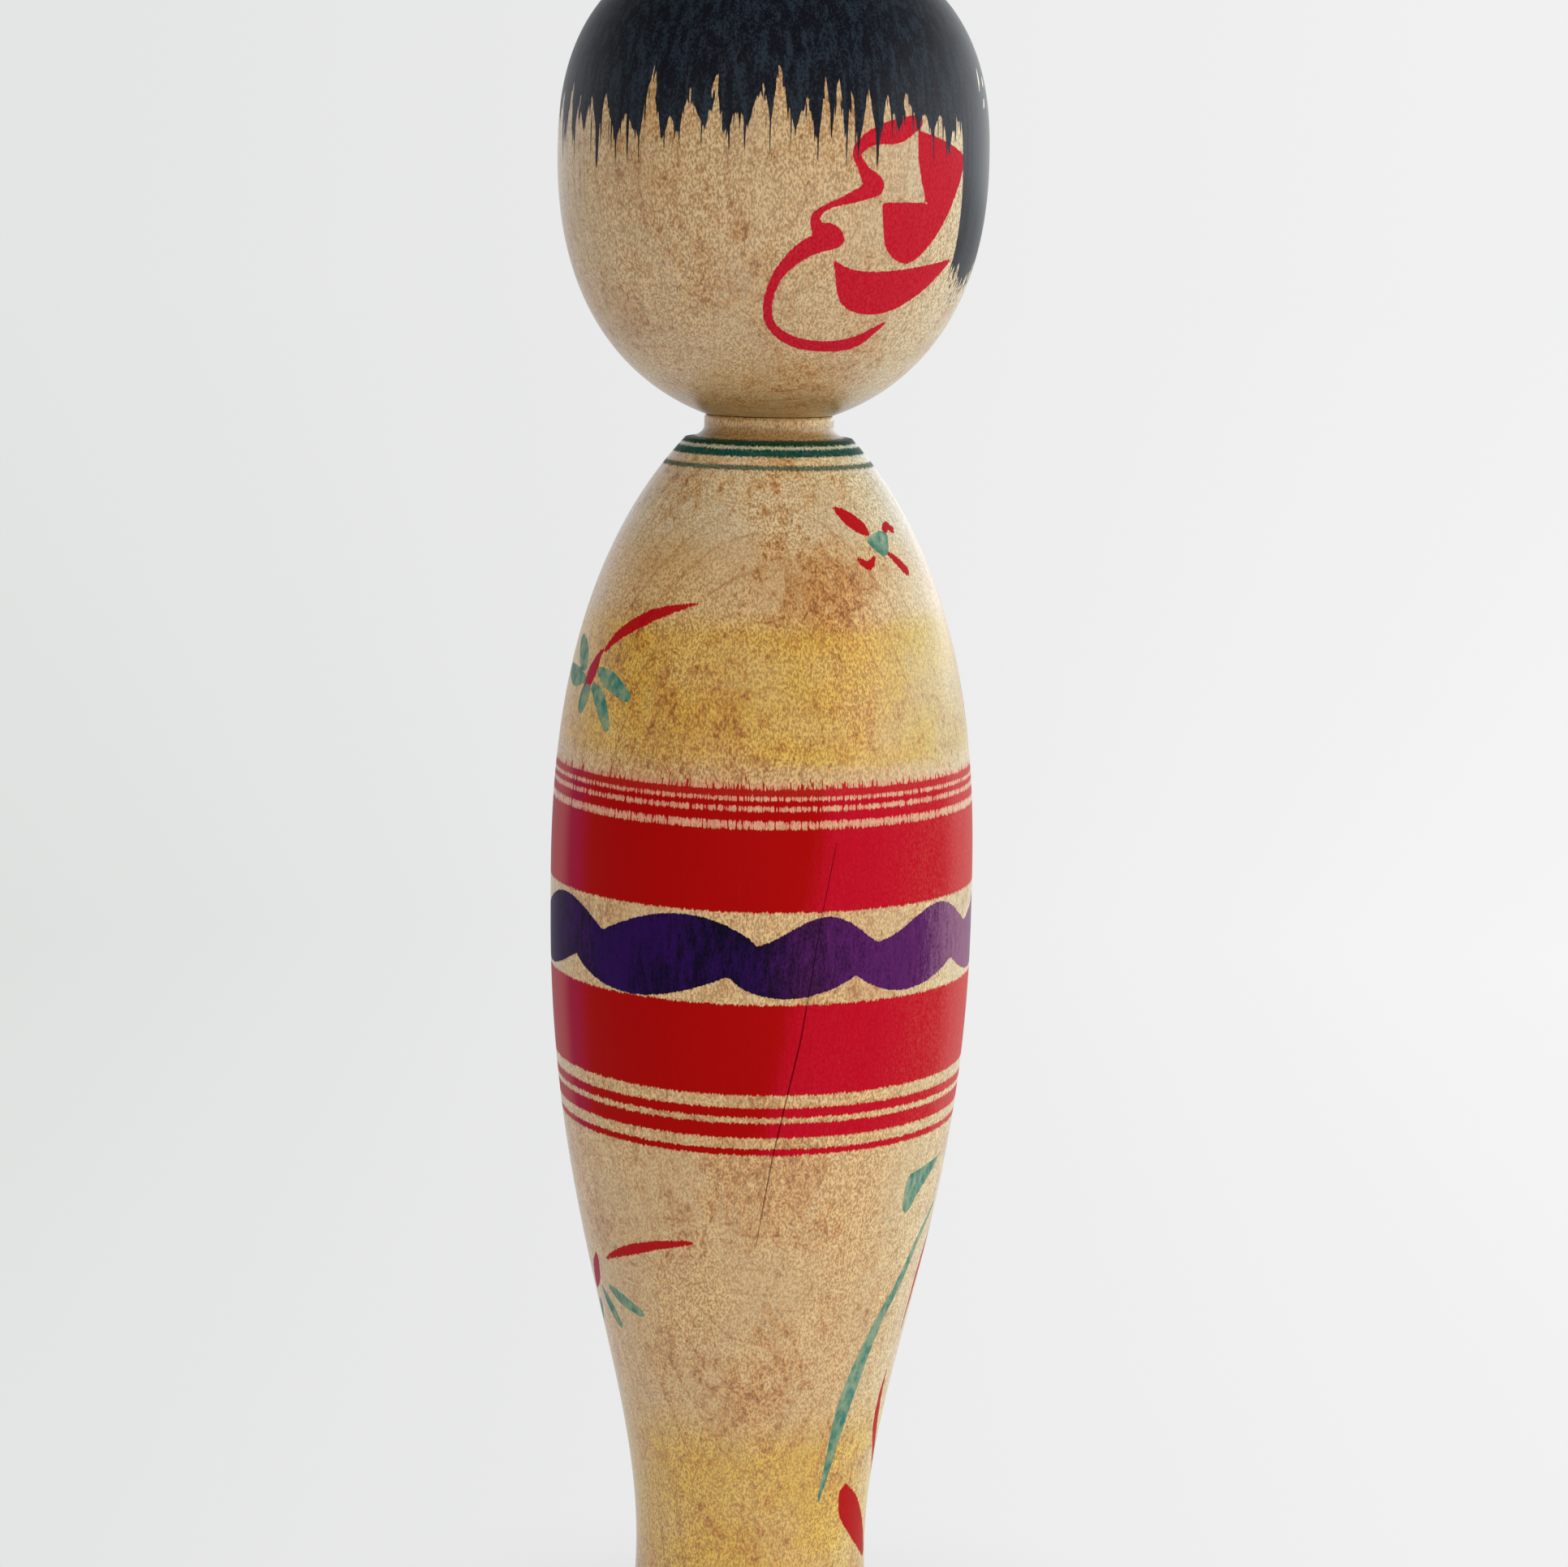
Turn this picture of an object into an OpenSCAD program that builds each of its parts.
// Kokeshi doll: a head and a body, each turned from a single piece of wood.
// The head's beaded tenon snaps into a grooved socket in the body and turns there, wood on wood.
// Millimetres, +Z up, origin at the centre of the face that the doll stands on. The face looks along -Y.

/* [Body] */
// Radius of the foot that the doll stands on
foot_r = 21.6; // [19:0.1:24]
// Rounding of the foot's outer edge
foot_edge = 0.9; // [0.4:0.1:1.5]
// Radius of the waist, the narrowest turn of the body
waist_r = 15.4; // [13:0.1:18]
// Height of the waist above the foot
waist_z = 31; // [27:0.5:36]
// Radius of the belly, the widest turn of the body
belly_r = 27.5; // [24:0.1:30]
// Height of the belly above the foot
belly_z = 118; // [110:1:124]
// Radius of the crisp edge that ends the shoulder
shoulder_r = 10.7; // [9.7:0.1:12]
// Height of the shoulder's crisp edge above the foot
shoulder_z = 179.7; // [176:0.1:184]

/* [Neck] */
// Radius of the short neck between the shoulder and the head
neck_r = 8.3; // [7.8:0.1:9.3]
// Height from the shoulder's edge to the top of the neck
neck_h = 2.9; // [1.7:0.1:4]
// Height of the cove that leads from the shoulder's edge into the neck
cove_h = 1.5; // [0.5:0.1:1.5]
// Gap between the top of the neck and the underside of the head
seat_gap = 0.1; // [0.05:0.05:0.3]

/* [Head] */
// Radius of the head at its widest turn
head_r = 27.25; // [24:0.05:30]
// Height from the neck up to the head's widest turn
jaw_h = 31.8; // [28:0.1:36]
// Height from the head's widest turn up to the crown
crown_h = 27.5; // [24:0.1:31]
// Fullness of the crown: 2 is an ellipse, and more is squarer
crown_power = 2.5; // [2:0.05:3]

/* [Turning joint] */
// Radius of the head's tenon
tenon_r = 5.5; // [4.5:0.1:6]
// Length of the tenon below the head
tenon_len = 24; // [20:1:32]
// How far the snap bead stands out from the tenon
bead_h = 0.7; // [0.4:0.1:1]
// Depth of the middle of the bead below the head
bead_depth = 14; // [10:0.5:16]
// Length of the bead's crest
bead_crest = 1.6; // [1:0.1:2.5]
// Gap all round between the tenon and its socket
run_gap = 0.06; // [0.03:0.01:0.1]
// Air left below the end of the tenon
socket_air = 2; // [1:0.5:5]

/* [Hidden] */

// Straight pieces along each curve of the outline
curve_steps = 24;
// Straight pieces along each small round
edge_steps = 6;
// Where the waist and the belly hand over to the curves between them, as heights along the axis
flare_pull = 17;
waist_pull = 25;
belly_pull_down = 41.5;
belly_pull_up = 11.6;
// How far the shoulder's curve runs out and down from its edge before it turns up to the belly
shoulder_pull = [17.9, -19.5];
// How far the head's curve runs out and up from the neck, and how far it runs down from the widest turn
jaw_pull = [2.8, 1.1];
cheek_pull = 25;
// Length of the bead's sloping flanks, and of the bevel at the end of the tenon
flank = 1.2;
tenon_bevel = 0.8;

neck_top = shoulder_z + neck_h;
head_seat = neck_top + seat_gap;
head_mid = head_seat + jaw_h;
bead_z = head_seat - bead_depth;
tenon_end = head_seat - tenon_len;
socket_end = tenon_end - socket_air;

$fn = 96;

// A point on the cubic curve with the four control points p, where t runs from 0 to 1
function cubic(p, t) =
    pow(1 - t, 3) * p[0] + 3 * pow(1 - t, 2) * t * p[1] + 3 * (1 - t) * t * t * p[2] + pow(t, 3) * p[3];

// The points along that curve, without its first one
function curve(p) = [for (i = [1:curve_steps]) cubic(p, i / curve_steps)];

// The profile of a ring that stands h out of a shaft of radius r, from below it to above it
function ring(r, h, z, crest) = [
    [r, z - crest / 2 - flank],
    [r + h, z - crest / 2],
    [r + h, z + crest / 2],
    [r, z + crest / 2 + flank]
];

// The foot's rounded edge, from the resting face up to the side
foot_edge_points = [
    for (i = [0:edge_steps])
        let (a = 90 * i / edge_steps)
            [foot_r - foot_edge * (1 - sin(a)), foot_edge * (1 - cos(a))]
];

// The flared skirt, the waist, the belly and the shoulder, from the foot up
body_side_points = concat(
    curve([[foot_r, foot_edge], [foot_r - 0.6, foot_edge + 9], [waist_r, waist_z - flare_pull],
           [waist_r, waist_z]]),
    curve([[waist_r, waist_z], [waist_r, waist_z + waist_pull], [belly_r, belly_z - belly_pull_down],
           [belly_r, belly_z]]),
    curve([[belly_r, belly_z], [belly_r, belly_z + belly_pull_up], [shoulder_r, shoulder_z] + shoulder_pull,
           [shoulder_r, shoulder_z]])
);

// The hollow cove from the shoulder's crisp edge into the neck
cove_points = [
    for (i = [1:edge_steps])
        let (a = 90 * i / edge_steps)
            [shoulder_r - (shoulder_r - neck_r) * sin(a), shoulder_z + cove_h * (1 - cos(a))]
];

// The neck's flat top, then the socket's wall from its mouth down to its floor, with the snap bead's groove
socket_points = concat(
    [[neck_r, neck_top], [tenon_r + run_gap, neck_top]],
    reverse(ring(tenon_r + run_gap, bead_h, bead_z, bead_crest)),
    [[tenon_r + run_gap, socket_end], [0, socket_end]]
);

// The tenon from its end up to the underside of the head
tenon_points = concat(
    [[0, tenon_end], [tenon_r - tenon_bevel, tenon_end], [tenon_r, tenon_end + tenon_bevel]],
    ring(tenon_r, bead_h, bead_z, bead_crest),
    [[tenon_r, head_seat], [neck_r, head_seat]]
);

// The underside and the cheeks, from the neck up to the widest turn
jaw_points = curve([
    [neck_r, head_seat],
    [neck_r, head_seat] + jaw_pull,
    [head_r, head_mid - cheek_pull],
    [head_r, head_mid]
]);

// The crown, a rounded square that closes on the axis
crown_points = [
    for (i = [1:curve_steps])
        let (a = 90 * i / curve_steps)
            [head_r * pow(cos(a), 2 / crown_power), head_mid + crown_h * pow(sin(a), 2 / crown_power)]
];

function reverse(list) = [for (i = [len(list) - 1:-1:0]) list[i]];

// The solid below the neck: skirt, waist, belly and shoulder, with the socket down its middle
module body() {
    color("burlywood")
        rotate_extrude()
            polygon(concat([[0, 0]], foot_edge_points, body_side_points, cove_points, socket_points));
}

// The solid above the neck: the round head and its beaded tenon
module head() {
    color("tan")
        rotate_extrude()
            polygon(concat(tenon_points, jaw_points, crown_points));
}

body();
head();
